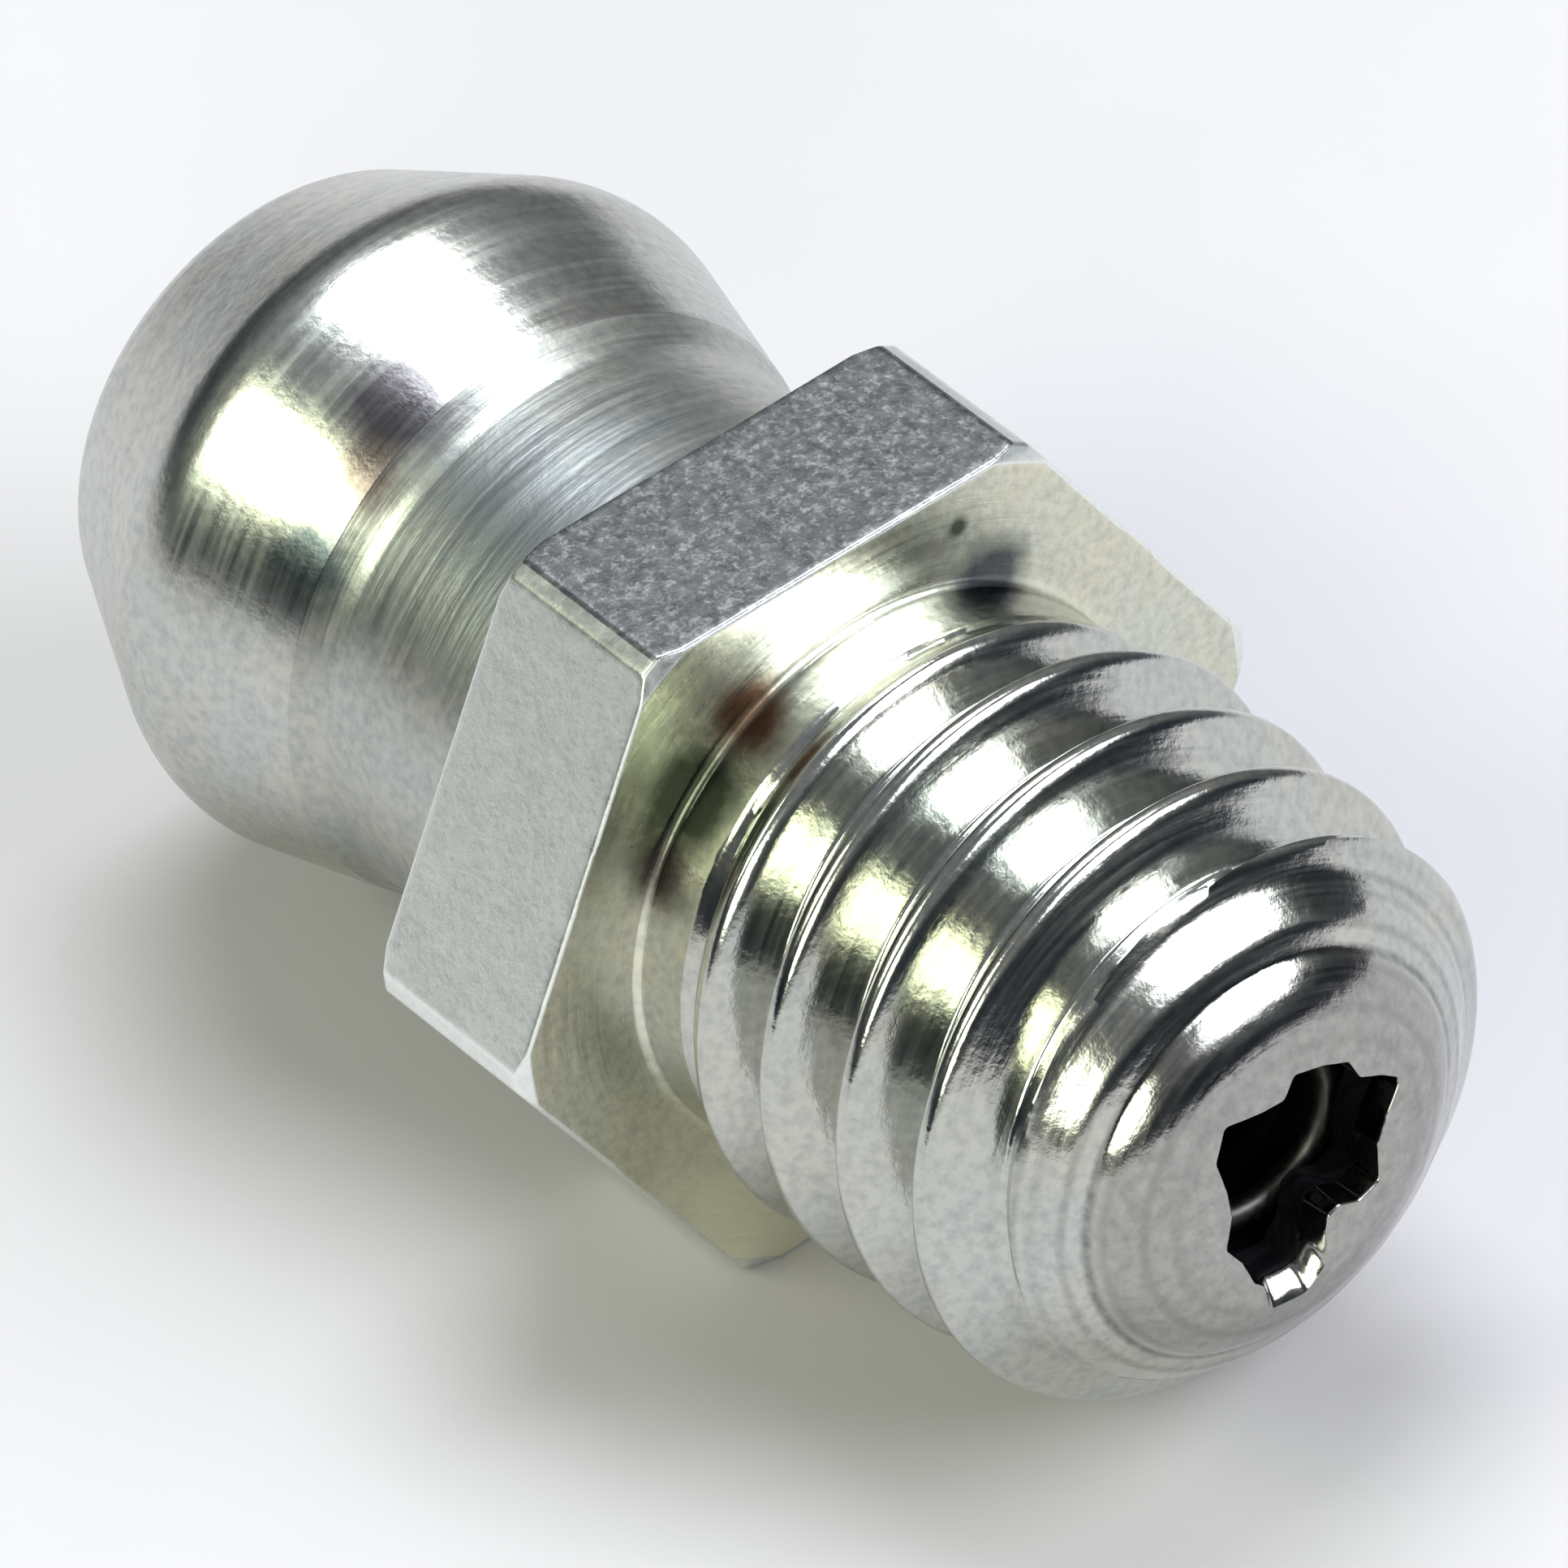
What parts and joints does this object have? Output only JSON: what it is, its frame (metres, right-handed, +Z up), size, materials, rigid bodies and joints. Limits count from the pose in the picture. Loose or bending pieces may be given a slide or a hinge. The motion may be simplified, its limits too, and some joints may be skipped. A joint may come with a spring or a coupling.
{
  "type": "grease nipple",
  "caption": "Straight grease nipple with a coupling head, a hexagon for a wrench, a tapered right-hand thread and a spring-loaded ball valve.",
  "frame": {"origin": "on the fitting's axis, in the face of the hexagon that seats on the greased part", "axes": "+X along the axis, out of the thread end; +Z up, square to the top flat of the hexagon, with the fitting lying on the opposite flat"},
  "size_m": [0.0142, 0.008, 0.007],
  "materials": {
    "plated_steel": "bright zinc plating over turned and cold-rolled steel",
    "ball_steel": "ground and polished hardened steel",
    "spring_wire": "bright drawn spring wire"
  },
  "bodies": {
    "body": {"nipple_body": "plated_steel", "valve_spring": "spring_wire"},
    "ball": {"check_ball": "ball_steel"}
  },
  "joints": [
    {"name": "ball_lift", "type": "slide", "parent": "body", "child": "ball", "axis": [1, 0, 0], "range_m": [0, 0.0008], "stiffness_N_per_m": 300, "springref_m": -0.002, "deforming": ["valve_spring"]}
  ]
}
